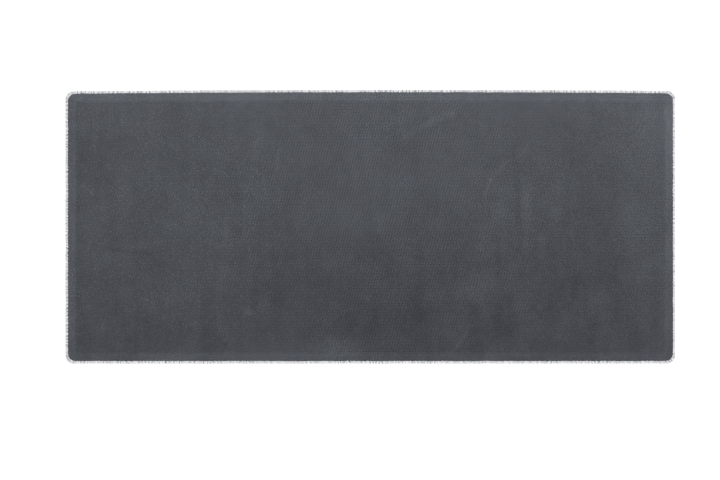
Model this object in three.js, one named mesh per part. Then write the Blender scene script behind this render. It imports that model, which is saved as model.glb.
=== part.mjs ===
// A desk-sized mouse mat with an overlocked edge, lying on its cloth face with its rubber grip face up.
// Units are millimetres and +Z is up. The origin is under the middle of the mat, on the surface it lies on.
// +X runs along the long side.
//
// The mat is a laminate of three sheets, cloth, adhesive film and foam rubber. A three-thread overlock seam
// wraps its cut edge: one looper thread covers the rubber side, one the cloth side, and the needle thread
// ties both down along the seam's inner edge.

import * as THREE from "three";
import { mergeVertices, toCreasedNormals } from "three/addons/utils/BufferGeometryUtils.js";

// Whole mat, measured over the seam
const matLength = 900;
const matWidth = 400;
const matThickness = 4;
const cornerRadius = 14;

// Laminate away from the edge: the foam rubber takes what the cloth and the film leave of the thickness
const clothThickness = 0.5;
const filmThickness = 0.1;

// Overlock seam
const seamWidth = 3.8; // how far the looper threads reach in over the rubber and over the cloth
const threadCover = 0.45; // thickness of the looper threads on each face and round the cut edge
const seamEdgeRound = 1.3; // how far in from the edge the wrapped threads start to curve over
const seamInnerRound = 0.25; // the same at the seam's inner edge
const purlHeight = 2; // height of the line on the cut edge where the two looper threads interlace
const needleThreadWidth = 0.5;
const needleThreadRound = 0.12;
const needleThreadSink = 0.06; // how far the needle thread lies above the surface that the cloth rests on
const seamShoulderShare = 0.5; // where the seam's inner edge starts to round, as a share of the thread cover
const edgeRoundShares = [0, 1 / 3, 2 / 3, 1]; // places of the section's points on the round of the edge

// Rubber grip face
const smoothBandWidth = 11.5; // ungrained band between the seam and the embossed grip field
const gripRise = 0.12; // height of the grip field over the smooth band
const gripEdgeRun = 0.9; // width of the slope between the two
const gripFieldRadius = 3; // corner radius of the grip field
const rubberPullRun = 1.4; // width of the slope where the stitches pull the rubber down beside the seam
const clothPullRun = 1.2; // the same on the cloth face

// Facets on each rounded corner, the same on every sheet and thread so that their faces meet exactly
const cornerSegments = 14;

// Creases sharper than this stay sharp in the shading
const creaseAngle = THREE.MathUtils.degToRad(30);

// Heights in the field, from the cloth face at zero up to the grip face
const clothTop = clothThickness;
const filmTop = clothTop + filmThickness;
const bandTop = matThickness - gripRise;

// Heights under the seam, where the stitches squeeze the laminate so that the threads end up flush
const seamFloor = threadCover;
const seamClothTop = seamFloor + clothThickness;
const seamFilmTop = seamClothTop + filmThickness;
const seamRoof = matThickness - threadCover;

// Distances in from the outer face of the seam
const cutEdge = threadCover;
const needleOuter = seamWidth;
const needleInner = seamWidth + needleThreadWidth;
const clothFlat = needleInner + clothPullRun;
const bandOuter = seamWidth + rubberPullRun;
const bandInner = seamWidth + smoothBandWidth;
const gripOuter = bandInner + gripEdgeRun;

// Points of the mat's outline moved inwards by an inset, anticlockwise from above
function outline(inset) {
  const halfLength = matLength / 2 - inset;
  const halfWidth = matWidth / 2 - inset;
  const radius = Math.max(cornerRadius - inset, gripFieldRadius);
  const points = [];
  for (let corner = 0; corner < 4; corner += 1) {
    const signX = corner === 0 || corner === 3 ? 1 : -1;
    const signY = corner < 2 ? 1 : -1;
    for (let step = 0; step <= cornerSegments; step += 1) {
      const angle = (corner + step / cornerSegments) * (Math.PI / 2);
      const x = signX * (halfLength - radius) + radius * Math.cos(angle);
      const y = signY * (halfWidth - radius) + radius * Math.sin(angle);
      points.push([x, y]);
    }
  }
  return points;
}

// One ring of vertices for each [inset, height] of a section
function ringPositions(section) {
  return section.flatMap(([inset, height]) => outline(inset).flatMap(([x, y]) => [x, y, height]));
}

// Two triangles between each pair of neighbouring points of two rings, facing out of the section's left side
function wallIndices(lower, upper, count) {
  const indices = [];
  for (let i = 0; i < count; i += 1) {
    const next = (i + 1) % count;
    indices.push(lower + i, lower + next, upper + next);
    indices.push(lower + i, upper + next, upper + i);
  }
  return indices;
}

// A flat face over one ring, as a ladder whose rungs cross the mat, so that its middle is one large pair
function capIndices(first, count) {
  const indices = [];
  for (let i = 0; i + 1 < count / 2; i += 1) {
    const far = first + count - 1 - i;
    indices.push(first + i, first + i + 1, far - 1);
    indices.push(first + i, far - 1, far);
  }
  return indices;
}

function solidGeometry(positions, indices) {
  const geometry = new THREE.BufferGeometry();
  geometry.setAttribute("position", new THREE.Float32BufferAttribute(positions, 3));
  geometry.setIndex(indices);
  return toCreasedNormals(mergeVertices(geometry), creaseAngle);
}

// A sheet from a section that runs from inside the lower face, out round the rim and back over the upper face
function sheetGeometry(section) {
  const count = outline(0).length;
  const indices = [];
  for (let ring = 0; ring + 1 < section.length; ring += 1) {
    indices.push(...wallIndices(ring * count, (ring + 1) * count, count));
  }
  const upper = (section.length - 1) * count;
  indices.push(...capIndices(upper, count));
  indices.push(...capIndices(0, count).reverse());
  return solidGeometry(ringPositions(section), indices);
}

// A thread's closed ring round the mat, from a section whose last point joins its first
function seamGeometry(section) {
  const count = outline(0).length;
  const indices = [];
  for (let ring = 0; ring < section.length; ring += 1) {
    const next = (ring + 1) % section.length;
    indices.push(...wallIndices(ring * count, next * count, count));
  }
  return solidGeometry(ringPositions(section), indices);
}

function fabricMaterial(color, roughness) {
  return new THREE.MeshStandardMaterial({ color, roughness, metalness: 0 });
}

const clothMaterial = fabricMaterial(0xd8dade, 0.92);
const filmMaterial = new THREE.MeshStandardMaterial({ color: 0xcfc9b8, roughness: 0.5, metalness: 0 });
const rubberMaterial = new THREE.MeshStandardMaterial({ color: 0x4d5055, roughness: 0.78, metalness: 0 });
const looperMaterial = fabricMaterial(0xeeeef2, 0.8);
const needleMaterial = fabricMaterial(0xe2e2e8, 0.7);

function clothFace() {
  const section = [
    [clothFlat, 0],
    [needleInner, seamFloor],
    [cutEdge, seamFloor],
    [cutEdge, seamClothTop],
    [needleInner, seamClothTop],
    [clothFlat, clothTop],
  ];
  return new THREE.Mesh(sheetGeometry(section), clothMaterial);
}

function adhesiveFilm() {
  const section = [
    [clothFlat, clothTop],
    [needleInner, seamClothTop],
    [cutEdge, seamClothTop],
    [cutEdge, seamFilmTop],
    [needleInner, seamFilmTop],
    [clothFlat, filmTop],
  ];
  return new THREE.Mesh(sheetGeometry(section), filmMaterial);
}

function rubberBase() {
  const section = [
    [clothFlat, filmTop],
    [needleInner, seamFilmTop],
    [cutEdge, seamFilmTop],
    [cutEdge, seamRoof],
    [seamWidth, seamRoof],
    [bandOuter, bandTop],
    [bandInner, bandTop],
    [gripOuter, matThickness],
  ];
  return new THREE.Mesh(sheetGeometry(section), rubberMaterial);
}

// Half of the thread wrap: from the seam's inner edge out over the face, round the mat's edge to the purl line
// and back inside. face is the height of the threads' outside, and sheetFace that of the sheet under them.
function wrapSection(face, sheetFace) {
  const towardsMiddle = Math.sign(purlHeight - face);
  const edgeRound = edgeRoundShares.map((share) => {
    const angle = share * (Math.PI / 2);
    const inset = seamEdgeRound * (1 - Math.sin(angle));
    const drop = seamEdgeRound * (1 - Math.cos(angle));
    return [inset, face + towardsMiddle * drop];
  });
  return [
    [seamWidth, sheetFace],
    [seamWidth, THREE.MathUtils.lerp(face, sheetFace, seamShoulderShare)],
    [seamWidth - seamInnerRound, face],
    ...edgeRound,
    [0, purlHeight],
    [cutEdge, purlHeight],
    [cutEdge, sheetFace],
  ];
}

function rubberSideLooper() {
  return new THREE.Mesh(seamGeometry(wrapSection(matThickness, seamRoof).reverse()), looperMaterial);
}

function clothSideLooper() {
  return new THREE.Mesh(seamGeometry(wrapSection(0, seamFloor)), looperMaterial);
}

// The needle thread's run along the cloth face, beside the loopers' inner edge
function needleThread() {
  const low = needleThreadSink;
  const shoulder = needleThreadSink + needleThreadRound;
  const section = [
    [needleInner, seamFloor],
    [needleInner, shoulder],
    [needleInner - needleThreadRound, low],
    [needleOuter + needleThreadRound, low],
    [needleOuter, shoulder],
    [needleOuter, seamFloor],
  ];
  return new THREE.Mesh(seamGeometry(section), needleMaterial);
}

const mat = new THREE.Group();

const pieces = {
  cloth_face: clothFace(),
  adhesive_film: adhesiveFilm(),
  rubber_base: rubberBase(),
  rubber_side_looper_thread: rubberSideLooper(),
  cloth_side_looper_thread: clothSideLooper(),
  needle_thread: needleThread(),
};

for (const [name, mesh] of Object.entries(pieces)) {
  mesh.name = name;
  mat.add(mesh);
}

export default mat;
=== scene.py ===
"""The looks of a desk-sized mouse mat that lies rubber side up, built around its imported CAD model.

Everything is in metres in the frame of the CAD model: +X along the long side, +Y up in the picture, +Z up.
The rubber sheet gets its embossed grip grain, the seam its stitches, and the cloth under it its knit.
"""

import math

import bpy
import numpy as np
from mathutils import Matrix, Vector
from mathutils.geometry import delaunay_2d_cdt

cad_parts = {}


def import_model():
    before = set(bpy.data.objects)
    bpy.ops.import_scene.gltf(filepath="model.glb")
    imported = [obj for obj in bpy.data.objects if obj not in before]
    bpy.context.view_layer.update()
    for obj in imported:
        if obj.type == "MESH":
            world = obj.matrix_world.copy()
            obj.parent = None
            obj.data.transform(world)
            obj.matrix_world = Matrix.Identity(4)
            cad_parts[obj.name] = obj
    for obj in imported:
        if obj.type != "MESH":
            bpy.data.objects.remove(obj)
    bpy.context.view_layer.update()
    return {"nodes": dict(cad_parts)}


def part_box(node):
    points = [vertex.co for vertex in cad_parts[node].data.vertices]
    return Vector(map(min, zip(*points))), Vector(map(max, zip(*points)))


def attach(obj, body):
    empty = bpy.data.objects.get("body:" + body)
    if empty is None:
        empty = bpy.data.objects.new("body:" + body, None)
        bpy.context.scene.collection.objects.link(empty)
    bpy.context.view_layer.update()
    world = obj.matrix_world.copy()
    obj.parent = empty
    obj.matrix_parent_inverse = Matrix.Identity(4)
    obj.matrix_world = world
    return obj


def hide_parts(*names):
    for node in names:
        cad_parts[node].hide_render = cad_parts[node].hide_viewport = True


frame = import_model()

MM = 0.001

# Sizes that the frame gives
seam_low, seam_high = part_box("rubber_side_looper_thread")
_, rubber_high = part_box("rubber_base")
HALF_X = seam_high.x
HALF_Y = seam_high.y
TOP = rubber_high.z
PURL_Z = seam_low.z
CUT_EDGE = HALF_X - rubber_high.x

# Sizes repeated from the CAD model, which the frame's boxes don't show
CORNER_RADIUS = 14 * MM
GRIP_FIELD_RADIUS = 3.0 * MM
SEAM_WIDTH = 3.8 * MM
THREAD_COVER = 0.45 * MM
CLOTH_THICKNESS = 0.5 * MM
FILM_THICKNESS = 0.1 * MM
NEEDLE_THREAD_WIDTH = 0.5 * MM
CLOTH_PULL_RUN = 1.2 * MM
WRAP_ROUND = 1.3 * MM
SMOOTH_BAND_WIDTH = 11.5 * MM
GRIP_RISE = 0.12 * MM

SEAM_ROOF = TOP - THREAD_COVER
SEAM_FILM_TOP = THREAD_COVER + CLOTH_THICKNESS + FILM_THICKNESS
FILM_TOP = CLOTH_THICKNESS + FILM_THICKNESS
BAND_TOP = TOP - GRIP_RISE
BAND_INNER = SEAM_WIDTH + SMOOTH_BAND_WIDTH
NEEDLE_INNER = SEAM_WIDTH + NEEDLE_THREAD_WIDTH
CLOTH_FLAT = NEEDLE_INNER + CLOTH_PULL_RUN

rng = np.random.default_rng(20)


# Outline of the mat


def quarter_lengths(inset):
    """A quarter of the outline moved in by inset: its straight along Y, its arc and its straight along X."""
    radius = corner_radius(inset)
    return HALF_Y - inset - radius, radius * math.pi / 2, HALF_X - inset - radius


def corner_radius(inset):
    return max(CORNER_RADIUS - inset, GRIP_FIELD_RADIUS)


def outline(inset, turns):
    """Points and outward directions of the outline moved in by inset, at turns from 0 to 4.

    A whole turn is a quarter of the outline, from the middle of one side to the middle of the next,
    measured along it. Turn 0 is at the middle of the right side, and turns run anticlockwise from above.
    """
    side_y, arc, side_x = quarter_lengths(inset)
    radius = corner_radius(inset)
    quarter = np.floor(turns).astype(int) % 4
    share = turns - np.floor(turns)
    share = np.where(quarter % 2 == 0, share, 1 - share)
    along = share * (side_y + arc + side_x)
    angle = np.clip((along - side_y) / radius, 0, math.pi / 2)
    beyond = np.clip(along - side_y - arc, 0, None)
    x = side_x + radius * np.cos(angle) - beyond
    y = np.clip(along, 0, side_y) + radius * np.sin(angle)
    sign_x = np.where((quarter == 0) | (quarter == 3), 1, -1)
    sign_y = np.where(quarter < 2, 1, -1)
    points = np.stack([sign_x * x, sign_y * y], axis=1)
    normals = np.stack([sign_x * np.cos(angle), sign_y * np.sin(angle)], axis=1)
    return points, normals


def inset_of(points):
    """How far points lie inside the outer edge of the seam."""
    corner = np.abs(points[:, :2]) - (np.array([HALF_X, HALF_Y]) - CORNER_RADIUS)
    outside = np.linalg.norm(np.clip(corner, 0, None), axis=1)
    inside = np.clip(corner.max(axis=1), None, 0)
    return CORNER_RADIUS - outside - inside


# How the real mat departs from its nominal shape

BOW = 2.0 * MM
GROWTH_X = 0.9 * MM
GROWTH_Y = 1.8 * MM
TILT = 0.35 * MM
FAR_DROP = 0.1 * MM
LIFT = 0.3 * MM
WANDER = 0.2 * MM
LOOSE_EDGE = 60 * MM


def smoothstep(low, high, value):
    share = np.clip((value - low) / (high - low), 0, 1)
    return share * share * (3 - 2 * share)


def ripple(along, lengths, phases):
    """A sum of sines of the given wavelengths, from -1 to 1."""
    total = sum(np.sin(along * 2 * math.pi / length + phase) for length, phase in zip(lengths, phases))
    return total / len(lengths)


def settle(points):
    """Points of the nominal mat moved to where the real one lies.

    The real mat is slightly larger, its far side bows out, its edges wander from a straight line and they
    lift off the floor a little here and there.
    """
    moved = points.copy()
    x, y = points[:, 0], points[:, 1]
    edge = 1 - smoothstep(0, LOOSE_EDGE, inset_of(points))
    far = smoothstep(0, HALF_Y, y)
    tilt = TILT * x / HALF_X
    moved[:, 0] += GROWTH_X * x / HALF_X
    moved[:, 1] += GROWTH_Y * y / HALF_Y + (BOW * (1 - (x / HALF_X) ** 2) + tilt - FAR_DROP) * far
    wander_x = ripple(y, (0.083, 0.041, 0.027), (0.4, 2.1, 4.4))
    wander_y = ripple(x, (0.121, 0.063, 0.034), (1.3, 0.2, 3.9))
    moved[:, 0] += WANDER * wander_x * edge * np.sign(x)
    moved[:, 1] += WANDER * wander_y * edge * np.sign(y)
    lift = 0.5 + 0.5 * ripple(x + 0.6 * y, (0.31, 0.19), (0.9, 2.7))
    moved[:, 2] += LIFT * lift * edge * edge
    return moved


# Meshes


def make_piece(name, points, faces):
    mesh = bpy.data.meshes.new(name)
    mesh.from_pydata(points.tolist(), [], faces)
    mesh.polygons.foreach_set("use_smooth", [True] * len(mesh.polygons))
    mesh.update()
    piece = bpy.data.objects.new(name, mesh)
    bpy.context.scene.collection.objects.link(piece)
    return piece


def section_rings(section, turns):
    """The outline at each inset and height of a section, as closed rings of points."""
    rings = []
    for inset, height in section:
        flat, _ = outline(inset, turns)
        rings.append(np.column_stack([flat, np.full(len(turns), height)]))
    return rings


def wall_faces(rings, count):
    """Quads between each pair of neighbouring rings of count points."""
    faces = []
    for lower in range(0, (rings - 1) * count, count):
        upper = lower + count
        for i in range(count):
            after = (i + 1) % count
            faces.append((lower + i, lower + after, upper + after, upper + i))
    return faces


def ladder_faces(first, count, facing_up):
    """A flat face over one ring, as a ladder of quads that starts at the corner between turns 0 and 1."""
    faces = []
    start = round(count / 4 * HALF_Y / (HALF_X + HALF_Y))
    order = [first + (start + i) % count for i in range(count)]
    for i in range(count // 2 - 1):
        quad = (order[i], order[i + 1], order[count - 2 - i], order[count - 1 - i])
        faces.append(quad if facing_up else quad[::-1])
    return faces


def store(piece, name, values):
    """A number for each vertex, which a material reads by its name."""
    attribute = piece.data.attributes.new(name, "FLOAT", "POINT")
    attribute.data.foreach_set("value", np.asarray(values, np.float32))


# Node graphs


class Graph:
    """Short calls for building a material's nodes."""

    def __init__(self, name):
        self.material = bpy.data.materials.new(name)
        self.material.use_nodes = True
        self.tree = self.material.node_tree
        self.tree.nodes.clear()
        self.output = self.tree.nodes.new("ShaderNodeOutputMaterial")
        self.place = self.tree.nodes.new("ShaderNodeTexCoord").outputs["Object"]

    def link(self, source, socket):
        if isinstance(source, bpy.types.NodeSocket):
            self.tree.links.new(source, socket)
        else:
            socket.default_value = source

    def math(self, operation, a, b=0.0):
        node = self.tree.nodes.new("ShaderNodeMath")
        node.operation = operation
        self.link(a, node.inputs[0])
        self.link(b, node.inputs[1])
        return node.outputs[0]

    def add(self, a, b):
        return self.math("ADD", a, b)

    def times(self, a, b):
        return self.math("MULTIPLY", a, b)

    def dot(self, vector):
        """The dot product of the place and a vector."""
        node = self.tree.nodes.new("ShaderNodeVectorMath")
        node.operation = "DOT_PRODUCT"
        self.link(self.place, node.inputs[0])
        node.inputs[1].default_value = vector
        return node.outputs["Value"]

    def stripes(self, length_x, length_y):
        """A sine along a slanted line that repeats every length_x along X and every length_y along Y."""
        return self.math("SINE", self.dot((2 * math.pi / length_x, 2 * math.pi / length_y, 0)))

    def scaled(self, color, factor):
        node = self.tree.nodes.new("ShaderNodeVectorMath")
        node.operation = "SCALE"
        node.inputs[0].default_value = color
        self.link(factor, node.inputs["Scale"])
        return node.outputs["Vector"]

    def tinted(self, color, more):
        """A colour and a constant one added up."""
        node = self.tree.nodes.new("ShaderNodeVectorMath")
        node.operation = "ADD"
        self.link(color, node.inputs[0])
        node.inputs[1].default_value = more
        return node.outputs["Vector"]

    def noise(self, size, detail=2.0, roughness=0.5, stretch=(1, 1, 1), seed=0.0):
        """Noise from about -1 to 1 whose blotches are size metres wide. seed moves it to another place."""
        shift = self.tree.nodes.new("ShaderNodeMapping")
        self.link(self.place, shift.inputs["Vector"])
        shift.inputs["Location"].default_value = (seed, seed * 0.7, 0)
        shift.inputs["Scale"].default_value = stretch
        node = self.tree.nodes.new("ShaderNodeTexNoise")
        node.normalize = False
        self.link(shift.outputs[0], node.inputs["Vector"])
        node.inputs["Scale"].default_value = 1 / size
        node.inputs["Detail"].default_value = detail
        node.inputs["Roughness"].default_value = roughness
        return node.outputs["Fac"]

    def attribute(self, name):
        node = self.tree.nodes.new("ShaderNodeAttribute")
        node.attribute_name = name
        return node.outputs["Fac"]

    def ramp(self, value, low, high, out_low=0.0, out_high=1.0):
        """A smooth step of value between low and high, from out_low to out_high."""
        node = self.tree.nodes.new("ShaderNodeMapRange")
        node.interpolation_type = "SMOOTHSTEP"
        self.link(value, node.inputs["Value"])
        node.inputs["From Min"].default_value = low
        node.inputs["From Max"].default_value = high
        node.inputs["To Min"].default_value = out_low
        node.inputs["To Max"].default_value = out_high
        return node.outputs["Result"]

    def bump(self, height, distance, strength=1.0):
        node = self.tree.nodes.new("ShaderNodeBump")
        node.inputs["Strength"].default_value = strength
        node.inputs["Distance"].default_value = distance
        self.link(height, node.inputs["Height"])
        return node.outputs["Normal"]

    def surface(self, color, roughness, normal=None, **plain):
        shader = self.tree.nodes.new("ShaderNodeBsdfPrincipled")
        self.link(color, shader.inputs["Base Color"])
        self.link(roughness, shader.inputs["Roughness"])
        if normal is not None:
            self.link(normal, shader.inputs["Normal"])
        for name, value in plain.items():
            shader.inputs[name.replace("_", " ")].default_value = value
        self.tree.links.new(shader.outputs[0], self.output.inputs["Surface"])
        return self.material


# Grip grain: a slanted lattice of small embossed points. The waves A and B span it, and C, D and E are
# further waves that show in its pattern. Each is given in waves a metre along X and Y.
GRAIN_A = np.array([248.0, -61.0])
GRAIN_B = np.array([150.0, -235.0])
GRAIN_C = np.array([-275.0, -297.0])
GRAIN_D = np.array([0.0, 227.0])
GRAIN_E = np.array([273.0, -153.0])
GRAIN_HEIGHT = 0.16 * MM
# How the lattice turns towards the ends: the phase that A loses and B gains at a metre from the middle
GRAIN_DRIFT = 112.0
GRAIN_BUMP = 0.08 * MM
# Each wave's strength in painted light and shade on the grain's relief, and in its bump: everywhere, and
# what one part of the mat adds to it. D and E have these shares of the strength of B.
A_STRENGTH = 0.085
A_IN_MIDDLE = 0.10
C_STRENGTH = 0.17
C_AT_ENDS = 0.15
B_STRENGTH = 0.04
B_ON_RIGHT = 0.045
B_IN_MIDDLE = 0.05
D_SHARE = 0.65
E_SHARE = 0.5
# Where those parts fade in along X, the first two on both sides of the middle
MIDDLE = (0.36, 0.08)
ENDS = (0.04, 0.24)
RIGHT = (-0.36, -0.08)

# Colour of the rubber: its dust times the brightness, and the blue of the rubber under it
RUBBER_DUST = (0.0516, 0.0567, 0.0614)
RUBBER_BLUE = (0, 0, 0.0060)
RUBBER_ROUGHNESS = 0.52
# The smooth band beside the seam: where it passes into the field, in millimetres from the seam's outer edge,
# its brightness against the field's, and how much wider it is beyond a line near the far side
BAND_TO_FIELD = (13.7, 17.7)
BAND_BRIGHTNESS = 1.31
WIDER_BAND = 0.8
WIDER_BAND_FROM = (0.15, 0.18)
# The painted shade in the groove beside the seam: where it ends and where the groove is deepest, in
# millimetres, and its darkness
GROOVE_SHADE_SPAN = (5.0, 3.9)
GROOVE_PAINTED_SHADE = 0.3
# The print of the moulding cloth in the rubber: its two slanted stripes' lengths along X and Y
PRINT_ACROSS = (1.1 * MM, 4.0 * MM)
PRINT_ALONG = (-4.0 * MM, 0.9 * MM)


def wave(g, waves, bend, strength):
    """Fine stripes across the rubber: a cosine with so many waves a metre, moved on by the angle bend."""
    turns = g.dot((*(waves * 2 * math.pi), 0))
    return g.times(g.math("COSINE", g.add(turns, bend)), strength)


def grain_relief_and_painted_shade(g, along):
    """The grain's waves: the height of its relief, and painted light and shade on it.

    A is strongest in the middle and C at the ends, and the others are weakest at the left end.
    """
    bend = g.times(g.noise(60 * MM, 1, seed=7.7), 0.8)
    drift = g.times(g.times(along, along), GRAIN_DRIFT)
    bend_a = g.add(bend, g.times(drift, -1.0))
    bend_b = g.add(bend, drift)
    middle = g.ramp(g.math("ABSOLUTE", along), *MIDDLE)
    ends = g.ramp(g.math("ABSOLUTE", along), *ENDS)
    right = g.ramp(along, *RIGHT)
    cross = g.add(B_STRENGTH, g.add(g.times(right, B_ON_RIGHT), g.times(middle, B_IN_MIDDLE)))
    return g.add(
        g.add(
            wave(g, GRAIN_A, bend_a, g.add(A_STRENGTH, g.times(middle, A_IN_MIDDLE))),
            wave(g, GRAIN_C, bend, g.add(C_STRENGTH, g.times(ends, C_AT_ENDS))),
        ),
        g.add(
            wave(g, GRAIN_B, bend_b, cross),
            g.add(
                wave(g, GRAIN_D, 0.3, g.times(cross, D_SHARE)),
                wave(g, GRAIN_E, 1.1, g.times(cross, E_SHARE)),
            ),
        ),
    )


def fine_specks(g, along):
    """Fine specks, with brighter ones towards the left end."""
    specks = g.noise(2.1 * MM, 1, 0.8, seed=11.0)
    left = g.ramp(along, 0.1, -0.3)
    return g.times(specks, g.add(0.5, g.times(specks, g.add(0.1, g.times(left, 0.65)))))


def dust_clouds(g):
    """Uneven dust in blotches of four sizes, of which the last are drawn out along Y."""
    return g.add(
        g.add(
            g.times(g.noise(150 * MM, 2, 0.5, seed=2.6), 0.13),
            g.times(g.noise(50 * MM, 3, 0.55, seed=1.3), 0.11),
        ),
        g.add(
            g.times(g.noise(13 * MM, 2, 0.6, seed=5.9), 0.09),
            g.times(g.noise(24 * MM, 2, 0.6, stretch=(1, 0.16, 1), seed=8.8), 0.09),
        ),
    )


def rubber_material():
    g = Graph("rubber")
    along = g.dot((1, 0, 0))
    edge = g.attribute("edge_mm")
    soft_edge = g.add(edge, g.times(g.noise(12 * MM, 2, seed=3.1), 1.4))
    soft_edge = g.add(soft_edge, g.ramp(g.dot((0, 1, 0)), *WIDER_BAND_FROM, 0.0, -WIDER_BAND))
    field = g.ramp(soft_edge, *BAND_TO_FIELD)
    groove_shade = g.ramp(edge, *GROOVE_SHADE_SPAN)
    grain = grain_relief_and_painted_shade(g, along)
    # Fine specks, and the grain's relief painted as light and shade, stronger in the field
    specks_and_painted_grain_shade = g.add(fine_specks(g, along), g.times(grain, g.add(0.85, g.times(field, 0.2))))
    # Wear and painted light across the rubber, with dust clouds
    tone = g.times(g.add(g.attribute("wear_and_painted_light"), dust_clouds(g)), g.add(0.975, specks_and_painted_grain_shade))
    tone = g.times(tone, g.ramp(soft_edge, *BAND_TO_FIELD, BAND_BRIGHTNESS, 1.0))
    # Painted shade in the groove beside the seam
    tone = g.times(tone, g.add(1.0, g.times(groove_shade, -GROOVE_PAINTED_SHADE)))
    color = g.tinted(g.scaled(RUBBER_DUST, tone), RUBBER_BLUE)
    roughness = g.add(RUBBER_ROUGHNESS, g.times(g.noise(20 * MM, 3, seed=9.2), 0.05))
    cloth_print = g.times(g.stripes(*PRINT_ACROSS), g.stripes(*PRINT_ALONG))
    fine = g.add(g.times(cloth_print, 0.15), g.times(g.noise(0.5 * MM, 2, 0.5, seed=2.2), 0.1))
    height = g.add(g.times(grain, g.add(0.6, g.times(field, 1.2))), fine)
    return g.surface(color, roughness, g.bump(height, GRAIN_BUMP), Specular_IOR_Level=0.25)


# Threads: the two kinds' colours, the plies that they are twisted from and the length of a turn in
# millimetres
LOOPER_COLOR = (0.94, 0.945, 0.97)
LOOPER_PLIES = 6
LOOPER_LAY = 6.0
NEEDLE_COLOR = (0.84, 0.845, 0.87)
NEEDLE_PLIES = 2
NEEDLE_LAY = 1.2
THREAD_ROUGHNESS = 0.85
THREAD_BUMP = 0.035 * MM


def thread_material(name, color, plies, lay):
    """White thread of twisted plies. lay is the length of one turn of the twist in millimetres."""
    g = Graph(name)
    around = g.math("ARCTAN2", g.attribute("around_sine"), g.attribute("around_cosine"))
    twist = g.add(g.times(around, plies), g.times(g.attribute("along_mm"), 2 * math.pi * plies / lay))
    strands = g.math("SINE", g.add(twist, g.times(g.noise(0.6 * MM, 2, seed=3.0), 1.2)))
    uneven = g.add(g.times(strands, 0.05), g.times(g.noise(0.5 * MM, 2, seed=4.0), 0.06))
    shade = g.add(g.attribute("tone"), uneven)
    fuzz = g.times(g.noise(0.15 * MM, 2, seed=1.0), 0.5)
    normal = g.bump(g.add(strands, fuzz), THREAD_BUMP, 0.8)
    return g.surface(g.scaled(color, shade), THREAD_ROUGHNESS, normal, Specular_IOR_Level=0.25)


# Cloth and film
CLOTH_COLOR = (0.68, 0.70, 0.73)
WALE = 0.62 * MM
COURSE = 0.54 * MM
KNIT_BUMP = 0.05 * MM
FILM_COLOR = (0.62, 0.58, 0.48)


def cloth_material():
    g = Graph("knitted_cloth")
    wales = g.math("SINE", g.dot((2 * math.pi / WALE, 0, 0)))
    courses = g.math("SINE", g.dot((0, 2 * math.pi / COURSE, 0)))
    knit = g.times(wales, courses)
    tone = g.add(1.0, g.add(g.times(knit, 0.05), g.times(g.noise(9 * MM, 3, seed=6.0), 0.02)))
    normal = g.bump(knit, KNIT_BUMP, 0.8)
    return g.surface(g.scaled(CLOTH_COLOR, tone), 0.9, normal, Specular_IOR_Level=0.3)


def film_material():
    g = Graph("adhesive_film")
    tone = g.add(1.0, g.times(g.noise(6 * MM, 2, seed=8.0), 0.05))
    return g.surface(g.scaled(FILM_COLOR, tone), 0.45)


# Wear on the rubber, in millimetres, and painted light across it
# Soft smudges: place of the middle, width, height, angle in degrees and change of brightness
SMUDGES = [
    (50, -115, 520, 170, 0, -0.15),
    (20, -140, 150, 80, 0, -0.13),
    (195, -140, 80, 80, 0, -0.13),
    (340, -100, 240, 170, 0, -0.13),
    (-305, -160, 230, 80, 0, -0.13),
    (-445, -90, 30, 240, 0, 0.12),
    (-130, -192, 150, 26, 0, 0.10),
    (-150, 70, 150, 190, 0, 0.07),
    (0, -30, 170, 70, 0, -0.09),
    (335, -28, 200, 80, 0, -0.11),
    (210, 100, 60, 90, 0, -0.08),
    (130, 70, 90, 190, 0, 0.05),
    (-40, 140, 640, 130, 0, 0.05),
    (0, 195, 850, 45, 0, 0.08),
    (410, -70, 110, 300, 0, 0.08),
    (-446, 120, 28, 180, 0, -0.09),
    (-400, 105, 90, 170, 0, -0.09),
    (-190, 40, 60, 30, 0, -0.10),
    (217, 32, 14, 110, 0, -0.16),
    (315, 85, 24, 130, 0, -0.10),
    (155, -90, 75, 50, 10, 0.27),
    (192, 23, 30, 38, 0, 0.28),
    (232, 28, 22, 95, 0, 0.19),
    (15, 5, 24, 46, 0, 0.20),
    (40, 45, 95, 75, 0, 0.14),
    (-45, -177, 115, 42, 0, 0.31),
    (335, -108, 46, 36, 0, 0.13),
    (273, 23, 18, 32, 0, 0.23),
    (-180, -124, 28, 10, -25, 0.30),
    (435, 160, 220, 190, 0, 0.31),
    (425, 40, 130, 260, 0, 0.13),
    (140, -60, 400, 120, 0, -0.09),
    (-290, 40, 270, 240, 0, 0.03),
    (-6, 110, 20, 85, 0, 0.11),
    (60, 172, 270, 60, 0, 0.12),
    (310, 178, 180, 50, 0, 0.09),
    (400, 168, 120, 40, 0, 0.08),
    (-430, 105, 90, 260, 0, -0.12),
    (-444, 162, 40, 84, 0, -0.28),
    (-440, 0, 30, 90, 0, -0.05),
    (-440, -90, 30, 100, 0, -0.05),
    (-395, -165, 80, 80, 0, 0.12),
    (-110, -182, 140, 44, 0, 0.12),
    (90, -180, 180, 50, 0, -0.06),
    (-300, -175, 100, 50, 0, -0.06),
    (440, -95, 30, 170, 0, 0.10),
    (424, 187, 26, 26, 0, -0.16),
    (428, 168, 26, 24, 0, 0.08),
    (130, -100, 24, 18, 0, 0.12),
]
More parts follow.
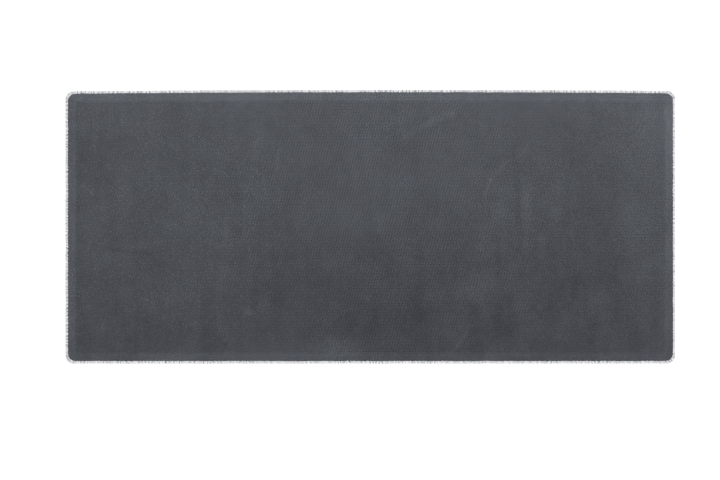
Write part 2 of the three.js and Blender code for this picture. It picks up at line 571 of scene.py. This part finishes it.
# Narrow scuffs: from, to, half width and change of brightness
SCUFFS = [
    (52, 131, 89, 152, 8.0, 0.20),
    (89, 152, 121, 165, 9.0, 0.24),
    (168, 45, 177, 69, 4.6, 0.22),
    (177, 69, 195, 90, 4.6, 0.24),
    (195, 90, 230, 110, 4.6, 0.20),
    (-136, 113, -137, 87, 3.2, 0.28),
    (-424, 63, -409, 48, 3.2, 0.32),
    (141, -155, 121, -182, 3.2, 0.24),
    (337, 162, 394, 186, 4.2, 0.10),
    (-431, -20, -381, -33, 3.4, -0.15),
    (-381, -33, -322, -39, 3.4, -0.15),
    (-159, 69, -145, 22, 3.2, 0.16),
]
# Painted light: the change of brightness from the middle to the far side, and what the smooth band adds
# towards the far and right sides. The near and left sides change the other way.
FAR_SIDE_PAINTED_LIGHT = 0.17
BAND_FAR_PAINTED_LIGHT = 0.02
BAND_RIGHT_PAINTED_LIGHT = -0.04
# A smudge fades out over this many times its half width and half height
SMUDGE_FADE = 1.25


def wear_and_painted_light(points):
    """The brightness of the rubber at each point, about 1: its wear and painted light across it."""
    x, y = points[:, 0] / MM, points[:, 1] / MM
    share_x, share_y = points[:, 0] / HALF_X, points[:, 1] / HALF_Y
    band = 1 - smoothstep(BAND_INNER - 1 * MM, BAND_INNER + 2 * MM, inset_of(points))
    # Painted light: brighter towards the far side, and in the smooth band also towards the far side and
    # darker towards the right
    bright = 1 + FAR_SIDE_PAINTED_LIGHT * share_y + band * (BAND_RIGHT_PAINTED_LIGHT * share_x + BAND_FAR_PAINTED_LIGHT * share_y)
    for mid_x, mid_y, width, height, angle, change in SMUDGES:
        turn = math.radians(angle)
        across = ((x - mid_x) * math.cos(turn) + (y - mid_y) * math.sin(turn)) * 2 / width
        up = ((y - mid_y) * math.cos(turn) - (x - mid_x) * math.sin(turn)) * 2 / height
        bright += change * (1 - smoothstep(0, SMUDGE_FADE, np.hypot(across, up)))
    for start_x, start_y, end_x, end_y, width, change in SCUFFS:
        reach = np.array([end_x - start_x, end_y - start_y])
        offset = np.stack([x - start_x, y - start_y], axis=1)
        share = np.clip(offset @ reach / (reach @ reach), 0, 1)
        distance = np.linalg.norm(offset - share[:, None] * reach, axis=1)
        bright += change * (1 - smoothstep(0, width, distance))
    return bright


# Rubber sheet

RING_STEP = 1.9 * MM
FIELD_INSET = BAND_INNER + 0.9 * MM
FIELD_EDGE_DROP = 0.05 * MM
GRAIN_CLEARANCE = 0.6 * RING_STEP


def grain_points():
    """The grip grain's lattice points inside the field, and which are raised: one in four."""
    basis = np.linalg.inv(np.stack([GRAIN_A, GRAIN_B]))
    # Half steps of the lattice each way, enough to pass every corner of the mat
    reach = int(1.4 * HALF_X * 2 * np.linalg.norm(GRAIN_B)) + 2
    i, j = np.meshgrid(np.arange(-reach, reach + 1), np.arange(-reach, reach + 1), indexing="ij")
    halves = np.stack([i.ravel(), j.ravel()], axis=1)
    points = halves @ (basis.T / 2)
    raised = (halves % 2 == 0).all(axis=1)
    inside = inset_of(points) > FIELD_INSET + GRAIN_CLEARANCE
    return points[inside], raised[inside]


def rubber_sheet():
    count = 4 * int(round(sum(quarter_lengths(0)) / RING_STEP))
    turns = np.arange(count) * 4 / count
    # Inset and height, from under the sheet out round its edge and in over the seam's floor and the band
    section = [
        (CLOTH_FLAT, FILM_TOP),
        (NEEDLE_INNER, SEAM_FILM_TOP),
        (CUT_EDGE, SEAM_FILM_TOP),
        (CUT_EDGE, TOP - WRAP_ROUND),
        (CUT_EDGE + 0.06 * MM, TOP - WRAP_ROUND + 0.33 * MM),
        (CUT_EDGE + 0.25 * MM, TOP - WRAP_ROUND + 0.6 * MM),
        (CUT_EDGE + 0.52 * MM, TOP - WRAP_ROUND + 0.79 * MM),
        (WRAP_ROUND, SEAM_ROOF),
        (SEAM_WIDTH - 0.3 * MM, SEAM_ROOF),
        (SEAM_WIDTH + 0.2 * MM, SEAM_ROOF - 0.1 * MM),
        (SEAM_WIDTH + 1.0 * MM, BAND_TOP - 0.12 * MM),
        (SEAM_WIDTH + 2.0 * MM, BAND_TOP),
        (SEAM_WIDTH + 5.0 * MM, BAND_TOP),
        (BAND_INNER - 2.0 * MM, BAND_TOP),
        (BAND_INNER, BAND_TOP + 0.01 * MM),
        (FIELD_INSET, TOP - FIELD_EDGE_DROP),
    ]
    rings = section_rings(section, turns)
    faces = ladder_faces(0, count, False) + wall_faces(len(rings), count)
    # The field: its border is the last ring
    first = (len(rings) - 1) * count
    border = rings[-1][:, :2]
    grain, raised = grain_points()
    flat = [Vector(p) for p in np.concatenate([border, grain])]
    edges = [(i, (i + 1) % count) for i in range(count)]
    _, _, field_faces, _, _, _ = delaunay_2d_cdt(flat, edges, [], 1, 1e-9)
    faces.extend(tuple(first + v for v in face) for face in field_faces)
    heights = np.where(raised, TOP, TOP - GRAIN_HEIGHT)
    points = np.concatenate([*rings, np.column_stack([grain, heights])])
    piece = make_piece("rubber_sheet", settle(points), faces)
    store(piece, "edge_mm", inset_of(points) / MM)
    store(piece, "wear_and_painted_light", wear_and_painted_light(points))
    piece.data.materials.append(rubber_material())
    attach(piece, "root")
    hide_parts("rubber_base")


# Cloth sheet


def cloth_sheet():
    count = 4 * int(round(sum(quarter_lengths(0)) / (4 * RING_STEP)))
    turns = np.arange(count) * 4 / count
    # Inset and height, from under the sheet out round its edge and in over it
    section = [
        (CLOTH_FLAT + 1.0 * MM, 0.0),
        (CLOTH_FLAT, 0.03 * MM),
        (NEEDLE_INNER, THREAD_COVER),
        (WRAP_ROUND, THREAD_COVER),
        (CUT_EDGE + 0.52 * MM, WRAP_ROUND - 0.79 * MM),
        (CUT_EDGE + 0.25 * MM, WRAP_ROUND - 0.6 * MM),
        (CUT_EDGE + 0.04 * MM, THREAD_COVER + CLOTH_THICKNESS),
        (NEEDLE_INNER, THREAD_COVER + CLOTH_THICKNESS),
        (CLOTH_FLAT, CLOTH_THICKNESS),
    ]
    rings = section_rings(section, turns)
    faces = ladder_faces(0, count, False) + wall_faces(len(rings), count)
    faces.extend(ladder_faces((len(rings) - 1) * count, count, True))
    piece = make_piece("cloth_sheet", settle(np.concatenate(rings)), faces)
    piece.data.materials.append(cloth_material())
    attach(piece, "root")
    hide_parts("cloth_face")


# Seam threads

STITCH_PITCH = 1.97 * MM
# Every third stitch reaches a little further in and is mostly thinner and darker by painted shade
RHYTHM = 3
PERIMETER = 4 * sum(quarter_lengths(SEAM_WIDTH))
STITCHES = RHYTHM * int(round(PERIMETER / STITCH_PITCH / RHYTHM))
PITCH = PERIMETER / STITCHES
SIDES = 6

# A looper thread's rounded zigzag: the points of each leg as shares of the way from the needle line, 0, to
# the purl, 1, and the tip, which lies a little beyond the needle line
LEG_SHARES = np.array([0.92, 0.74, 0.55, 0.28, 0.0])
TIP_SHARE = -0.05
# Half the spread of a stitch's two legs at the needle line and the purl, as shares of the pitch, and how
# much of the first is left beside the tip
NEEDLE_SPREAD_SHARE = 0.25
PURL_SPREAD_SHARE = 0.34
TIP_SPREAD = 0.78
# How far a stitch has leant along the seam at its purl, as a share of the pitch
LEAN_SHARE = 0.25
# How far each looper thread passes the purl line
PURL_STEP = 0.25 * MM

# How far a stitch's needle hole departs from the seam's inner edge: at every third stitch, by chance, in
# waves along the seam, and at the corners
REACH_RHYTHM = 0.05 * MM
REACH_NOISE = 0.2 * MM
REACH_WAVE = 0.12 * MM
BUNCHING = 0.4 * MM
# How far its hole and its purl depart along the seam from the even pitch, as shares of it
HOLE_SHIFT = 0.07
PURL_SHIFT = 0.08
# How far the looper threads stand out at the corners
CORNER_SLACK = 0.6 * MM

# The thread's size, how much its width differs from stitch to stitch, how much narrower it is at the needle
# line, the purl and the tip, how much fuller between, and how far the tip dips
YARN_WIDTH = 1.02 * MM
YARN_THICKNESS = THREAD_COVER * 0.95
WIDTH_RHYTHM = 0.02
WIDTH_NOISE = 0.11
NEEDLE_END_NARROWER = 0.03
PURL_END_NARROWER = 0.06
TIP_NARROWER = 0.3
FULLER = 0.05
TIP_DIP = 0.12 * MM

# The seam's dots: stitches that are thinner and darker by these shares of their width and brightness. The
# darkening is painted shade for the shadow between stitches. How much of that a stitch gets comes from
# chance and the rhythm, up to a limit.
DOT_THINNER = 0.14
DOT_PAINTED_SHADE = 0.32
DOT_NOISE = 0.8
DOT_RHYTHM = 0.75
DOT_LIMIT = 1.2
# How strong the dots are on the near and right sides, and what the far side gains and the left loses. On the
# left all the stitches are a little thinner.
DOTS = 0.8
DOTS_FAR_GAIN = 0.56
DOTS_LEFT_LOSS = 0.12
LEFT_THINNER = 0.17

NEEDLE_YARN = 0.34 * MM


def thread(name, centres, ups, widths, thicknesses, tone):
    """A closed thread of oval section through the centres. ups are the directions of its thin axis."""
    count = len(centres)
    steps = np.linalg.norm(np.diff(centres, axis=0, prepend=centres[-1:]), axis=1)
    along = np.roll(centres, -1, axis=0) - np.roll(centres, 1, axis=0)
    along /= np.linalg.norm(along, axis=1, keepdims=True)
    across = np.cross(along, ups)
    across /= np.maximum(np.linalg.norm(across, axis=1, keepdims=True), 1e-9)
    up = np.cross(across, along)
    angles = (np.arange(SIDES) + 0.5) * 2 * math.pi / SIDES
    vertices = (
        centres[:, None, :]
        + across[:, None, :] * (np.cos(angles)[None, :, None] * widths[:, None, None] / 2)
        + up[:, None, :] * (np.sin(angles)[None, :, None] * thicknesses[:, None, None] / 2)
    )
    here = np.arange(count)[:, None] * SIDES
    there = (np.arange(count)[:, None] + 1) % count * SIDES
    k = np.arange(SIDES)[None, :]
    after = (k + 1) % SIDES
    quads = np.stack([here + k, there + k, there + after, here + after], axis=2)
    piece = make_piece(name, settle(vertices.reshape(-1, 3)), quads.reshape(-1, 4).tolist())
    store(piece, "tone", np.repeat(tone, SIDES))
    store(piece, "along_mm", np.repeat(np.cumsum(steps) / MM, SIDES))
    store(piece, "around_cosine", np.tile(np.cos(angles), count))
    store(piece, "around_sine", np.tile(np.sin(angles), count))
    return piece


def stitch_noise(spread, share=0.3):
    """A random number for each stitch, less a share of both its neighbours' numbers."""
    values = rng.normal(0, spread, STITCHES)
    return values - share * (np.roll(values, 1) + np.roll(values, -1))


stitch_number = np.arange(STITCHES)
stitch_rhythm = np.where(stitch_number % RHYTHM == 0, 1.0, -0.45)
stitch_reach = stitch_rhythm * REACH_RHYTHM + stitch_noise(REACH_NOISE, 0.4)
stitch_shift = stitch_noise(HOLE_SHIFT)


def cornering(normals):
    """1 in the middle of each corner and 0 along the sides, from the outward directions."""
    return 2 * np.abs(normals[:, 0] * normals[:, 1])


def seam_reach(stitch, along, normals):
    """How far in from the edge a stitch's needle hole lies. Stitches bunch up at the corners."""
    bunching = BUNCHING * cornering(normals)
    wave_in = REACH_WAVE * ripple(along, (0.047, 0.029, 0.019), (0.3, 1.9, 4.0))
    return SEAM_WIDTH + stitch_reach[stitch] + bunching + wave_in


def around_edge(share, reach, face, purl, purl_inset):
    """Inset, height and turn of a looper's leg at each share of its way.

    It runs flat over the face, bends round the edge and then goes straight to the purl.
    """
    away = np.sign(face - purl)
    radius = WRAP_ROUND - purl_inset
    centre = face - away * radius
    arc = radius * math.pi / 2
    drop = np.abs(centre - purl)
    travelled = share * (reach - WRAP_ROUND + arc + drop)
    turn = np.clip((travelled - (reach - WRAP_ROUND)) / arc, 0, 1) * math.pi / 2
    inset = np.where(turn > 0, WRAP_ROUND - radius * np.sin(turn), reach - travelled)
    height = centre + away * radius * np.cos(turn)
    height = height - away * np.clip(travelled - (reach - WRAP_ROUND + arc), 0, None)
    return inset, height, turn


def looper(name, face, purl, purl_inset, lean):
    """One looper thread: a rounded zigzag from the needle line over its face to the purl on the cut edge.

    face is the height of the thread's middle over the sheet, purl that of its turns on the cut edge.
    """
    # From the purl in along one leg, round the tip and out along the other
    shares = np.concatenate([[1.0], LEG_SHARES, [TIP_SHARE], LEG_SHARES[::-1]])
    spread = NEEDLE_SPREAD_SHARE + (PURL_SPREAD_SHARE - NEEDLE_SPREAD_SHARE) * LEG_SHARES
    spread[-1] *= TIP_SPREAD
    places = np.concatenate([[-0.5], -spread, [0.0], spread[::-1]]) + lean * shares
    per_stitch = len(shares)
    stitch = np.repeat(stitch_number, per_stitch)
    share = np.tile(shares, STITCHES)
    purl_shift = stitch_noise(PURL_SHIFT)
    outgoing = np.tile(np.arange(per_stitch) > per_stitch // 2, STITCHES)
    end_shift = np.where(outgoing, np.roll(purl_shift, -1)[stitch], purl_shift[stitch])
    shift = stitch_shift[stitch] * (1 - share) + end_shift * share
    along = (stitch + np.tile(places, STITCHES) + shift) * PITCH
    flat, normals = outline(SEAM_WIDTH, (along / PERIMETER * 4) % 4)
    inset, height, turn = around_edge(share, seam_reach(stitch, along, normals), face, purl, purl_inset)
    inset = inset - CORNER_SLACK * cornering(normals) * smoothstep(0.3, 0.8, share)
    away = np.sign(face - purl)
    height = height - away * (1 - smoothstep(0, 0.25, share)) * TIP_DIP
    centres = np.column_stack([flat + normals * (SEAM_WIDTH - inset)[:, None], height])
    ups = np.column_stack([normals * np.sin(turn)[:, None], away * np.cos(turn)])
    fat = 1 + WIDTH_RHYTHM * stitch_rhythm + stitch_noise(WIDTH_NOISE)
    far_side = np.clip(normals[:, 1], 0, 1)
    left_side = np.clip(-normals[:, 0], 0, 1)
    dark = np.clip(stitch_noise(DOT_NOISE) + DOT_RHYTHM * stitch_rhythm, 0, DOT_LIMIT)[stitch]
    dark = dark * (DOTS + DOTS_FAR_GAIN * far_side - DOTS_LEFT_LOSS * left_side)
    narrow = NEEDLE_END_NARROWER * (1 - smoothstep(0, 0.35, share)) + TIP_NARROWER * (share < 0)
    narrow = narrow + PURL_END_NARROWER * smoothstep(0.85, 1, share)
    # A dot lies on the inner half of its stitch
    gap = LEFT_THINNER * left_side + DOT_THINNER * dark
    gap = gap * smoothstep(0.02, 0.25, share) * (1 - smoothstep(0.35, 0.65, share))
    fuller = 1 + FULLER * smoothstep(0.3, 0.55, share) * (1 - smoothstep(0.85, 1, share))
    widths = YARN_WIDTH * fat[stitch] * (1 - narrow) * (1 - gap) * fuller
    thicknesses = np.full(len(widths), YARN_THICKNESS)
    # Painted shade: dark stitches are darker mostly on their inner part, for the shadow in the gaps between
    # them
    tone = 1 - DOT_PAINTED_SHADE * dark * (1 - 0.8 * smoothstep(0.2, 0.6, share))
    return thread(name, centres, ups, widths, thicknesses, tone)


def rubber_side_looper():
    half = THREAD_COVER / 2
    piece = looper("rubber_side_looper_stitches", TOP - half, PURL_Z - PURL_STEP, half * 1.1, LEAN_SHARE)
    material = thread_material("looper_thread_rubber_side", LOOPER_COLOR, LOOPER_PLIES, LOOPER_LAY)
    piece.data.materials.append(material)
    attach(piece, "root")
    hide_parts("rubber_side_looper_thread")


def cloth_side_looper():
    half = THREAD_COVER / 2
    piece = looper("cloth_side_looper_stitches", half, PURL_Z + PURL_STEP, half * 0.8, -LEAN_SHARE)
    material = thread_material("looper_thread_cloth_side", LOOPER_COLOR, LOOPER_PLIES, LOOPER_LAY)
    piece.data.materials.append(material)
    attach(piece, "root")
    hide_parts("cloth_side_looper_thread")


def needle_stitches():
    """The needle thread: dashes on the cloth face from hole to hole, with small loops on the rubber face."""
    # Heights of the dashes and of the rubber face
    low = THREAD_COVER * 0.5
    high = TOP
    # Place along the seam in stitches, inset from the looper's turn in millimetres, and height
    steps = [
        (0.04, 0.12, low + 0.4 * MM),
        (0.04, 0.22, high - 0.6 * MM),
        (0.03, 0.16, high - 0.12 * MM),
        (0.01, -0.02, high + 0.06 * MM),
        (-0.01, -0.28, high + 0.08 * MM),
        (-0.03, -0.48, high - 0.1 * MM),
        (-0.03, -0.42, high - 0.7 * MM),
        (-0.02, 0.0, low + 0.4 * MM),
        (0.14, 0.1, low),
        (0.86, 0.1, low),
    ]
    per_stitch = len(steps)
    stitch = np.repeat(stitch_number, per_stitch)
    place = np.tile([step[0] for step in steps], STITCHES)
    inward = np.tile([step[1] for step in steps], STITCHES) * MM
    height = np.tile([step[2] for step in steps], STITCHES)
    along = (stitch + place + stitch_shift[stitch]) * PITCH
    flat, normals = outline(SEAM_WIDTH, (along / PERIMETER * 4) % 4)
    inset = seam_reach(stitch, along, normals) + inward
    centres = np.column_stack([flat + normals * (SEAM_WIDTH - inset)[:, None], height])
    ups = np.column_stack([normals * 0.3, np.ones(len(centres))])
    widths = np.full(len(centres), NEEDLE_YARN)
    piece = thread("needle_stitches", centres, ups, widths, widths, (1 + stitch_noise(0.05))[stitch])
    piece.data.materials.append(thread_material("needle_thread", NEEDLE_COLOR, NEEDLE_PLIES, NEEDLE_LAY))
    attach(piece, "root")
    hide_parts("needle_thread")


# Studio

# The nominal mat's length, the pixels that it takes in the picture, and all the picture's pixels across
MAT_LENGTH = 900 * MM
MAT_PIXELS = 609.5
PICTURE_PIXELS = 720
PICTURE_WIDTH = PICTURE_PIXELS * MAT_LENGTH / MAT_PIXELS
LENS = 95.0
SENSOR = 36.0
# The point of the mat over which the camera hangs and looks straight down
CAMERA_X = -15.4 * MM
CAMERA_Y = -18.8 * MM

# Strength of the world's light on the mat. What is seen of the world has a strength of 1.
WORLD_STRENGTH = 0.62
FLOOR_COLOR = (0.85, 0.85, 0.85, 1)
FLOOR_GLOW = 0.6
FLOOR_HALF = 4.0
FLOOR_Z = -0.2 * MM

# Each lamp's name, place, size and power. All of them face the mat.
LAMPS = [
    ("key", (0.2, 1.1, 1.7), (2.4, 0.6), 15),
    ("low_fill", (0.4, -2.4, 0.6), (2.6, 0.8), 18),
    ("right_fill", (2.3, 0.1, 0.6), (0.8, 1.6), 12),
    ("left_fill", (-2.3, 0.1, 0.6), (0.8, 1.6), 8),
]


def camera():
    data = bpy.data.cameras.new("camera")
    data.lens = LENS
    data.sensor_width = SENSOR
    data.sensor_fit = "HORIZONTAL"
    item = bpy.data.objects.new("camera", data)
    item.location = (CAMERA_X, CAMERA_Y, TOP + PICTURE_WIDTH * LENS / SENSOR)
    bpy.context.scene.collection.objects.link(item)
    bpy.context.scene.camera = item


def area_light(name, place, size, power):
    data = bpy.data.lights.new(name, "AREA")
    data.shape = "RECTANGLE"
    data.size, data.size_y = size
    data.energy = power
    item = bpy.data.objects.new(name, data)
    item.location = place
    item.rotation_euler = (-Vector(place)).to_track_quat("-Z", "Y").to_euler()
    bpy.context.scene.collection.objects.link(item)


def seen_rays(nodes, links):
    """1 for the rays that show the background: the camera's, and those of reflections and glass."""
    path = nodes.new("ShaderNodeLightPath")
    seen = path.outputs["Is Camera Ray"]
    for name in ("Is Glossy Ray", "Is Transmission Ray"):
        either = nodes.new("ShaderNodeMath")
        either.operation = "MAXIMUM"
        links.new(seen, either.inputs[0])
        links.new(path.outputs[name], either.inputs[1])
        seen = either.outputs[0]
    return seen


def world():
    """A soft light from all round, which looks white."""
    made = bpy.data.worlds.new("studio")
    bpy.context.scene.world = made
    made.use_nodes = True
    nodes, links = made.node_tree.nodes, made.node_tree.links
    back = nodes["Background"]
    back.inputs["Color"].default_value = (1, 1, 1, 1)
    back.inputs["Strength"].default_value = WORLD_STRENGTH
    white = nodes.new("ShaderNodeBackground")
    white.inputs["Color"].default_value = (1, 1, 1, 1)
    white.inputs["Strength"].default_value = 1.0
    choice = nodes.new("ShaderNodeMixShader")
    links.new(seen_rays(nodes, links), choice.inputs[0])
    links.new(back.outputs[0], choice.inputs[1])
    links.new(white.outputs[0], choice.inputs[2])
    links.new(choice.outputs[0], nodes["World Output"].inputs["Surface"])


def floor():
    """A pale floor just under the mat, which takes its shadow and looks white around it."""
    mesh = bpy.data.meshes.new("floor")
    corners = [(x * FLOOR_HALF, y * FLOOR_HALF, FLOOR_Z) for x, y in ((-1, -1), (1, -1), (1, 1), (-1, 1))]
    mesh.from_pydata(corners, [], [(0, 1, 2, 3)])
    item = bpy.data.objects.new("floor", mesh)
    bpy.context.scene.collection.objects.link(item)
    material = bpy.data.materials.new("floor")
    material.use_nodes = True
    nodes, links = material.node_tree.nodes, material.node_tree.links
    shader = nodes["Principled BSDF"]
    shader.inputs["Base Color"].default_value = FLOOR_COLOR
    shader.inputs["Roughness"].default_value = 1.0
    shader.inputs["Specular IOR Level"].default_value = 0.0
    glow = nodes.new("ShaderNodeEmission")
    strength = nodes.new("ShaderNodeMath")
    strength.operation = "MULTIPLY"
    strength.inputs[1].default_value = FLOOR_GLOW
    links.new(seen_rays(nodes, links), strength.inputs[0])
    links.new(strength.outputs[0], glow.inputs["Strength"])
    both = nodes.new("ShaderNodeAddShader")
    links.new(shader.outputs[0], both.inputs[0])
    links.new(glow.outputs[0], both.inputs[1])
    links.new(both.outputs[0], nodes["Material Output"].inputs["Surface"])
    item.data.materials.append(material)


def studio():
    bpy.context.scene.view_settings.view_transform = "Standard"
    camera()
    world()
    floor()
    for name, place, size, power in LAMPS:
        area_light(name, place, size, power)


studio()
rubber_sheet()
cloth_sheet()
rubber_side_looper()
cloth_side_looper()
needle_stitches()

film = frame["nodes"]["adhesive_film"]
film.data.materials.clear()
film.data.materials.append(film_material())
